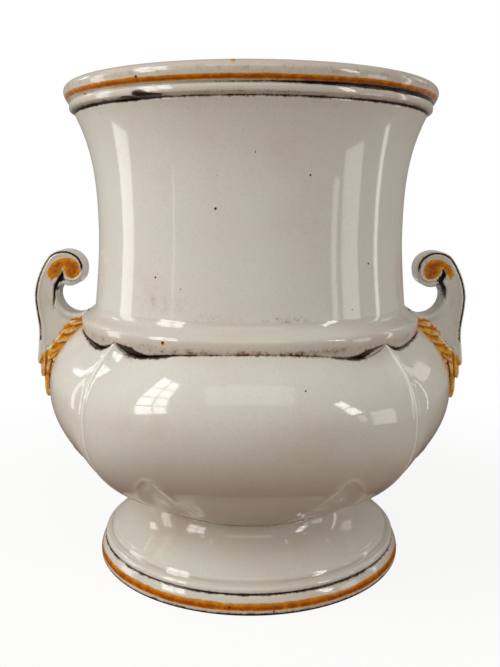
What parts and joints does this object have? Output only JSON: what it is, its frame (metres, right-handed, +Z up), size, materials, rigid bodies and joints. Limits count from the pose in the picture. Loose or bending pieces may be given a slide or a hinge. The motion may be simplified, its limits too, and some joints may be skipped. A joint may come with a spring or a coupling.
{
  "type": "two-handled pottery urn",
  "caption": "Glazed pottery urn with a flared neck, lobed bowl, hollow moulded foot and scroll handles on leaf sprigs.",
  "frame": {"origin": "centre of the ring the urn stands on, at table height", "axes": "+Z up the urn's axis, X through the two handles, -Y towards the front lobe"},
  "size_m": [0.3538, 0.3274, 0.378],
  "materials": {
    "ivory_glaze": "glossy ivory tin glaze with fine pinholes",
    "ochre_glaze": "ochre enamel brushed over the glaze, glossy"
  },
  "bodies": {
    "root": {"foot": "ivory_glaze", "lobed_bowl": "ivory_glaze", "shoulder_collar": "ivory_glaze", "flared_neck": "ivory_glaze", "rim_roll": "ivory_glaze", "handle_right": "ivory_glaze", "handle_left": "ivory_glaze", "leaf_right": "ochre_glaze", "leaf_left": "ochre_glaze"}
  },
  "joints": []
}
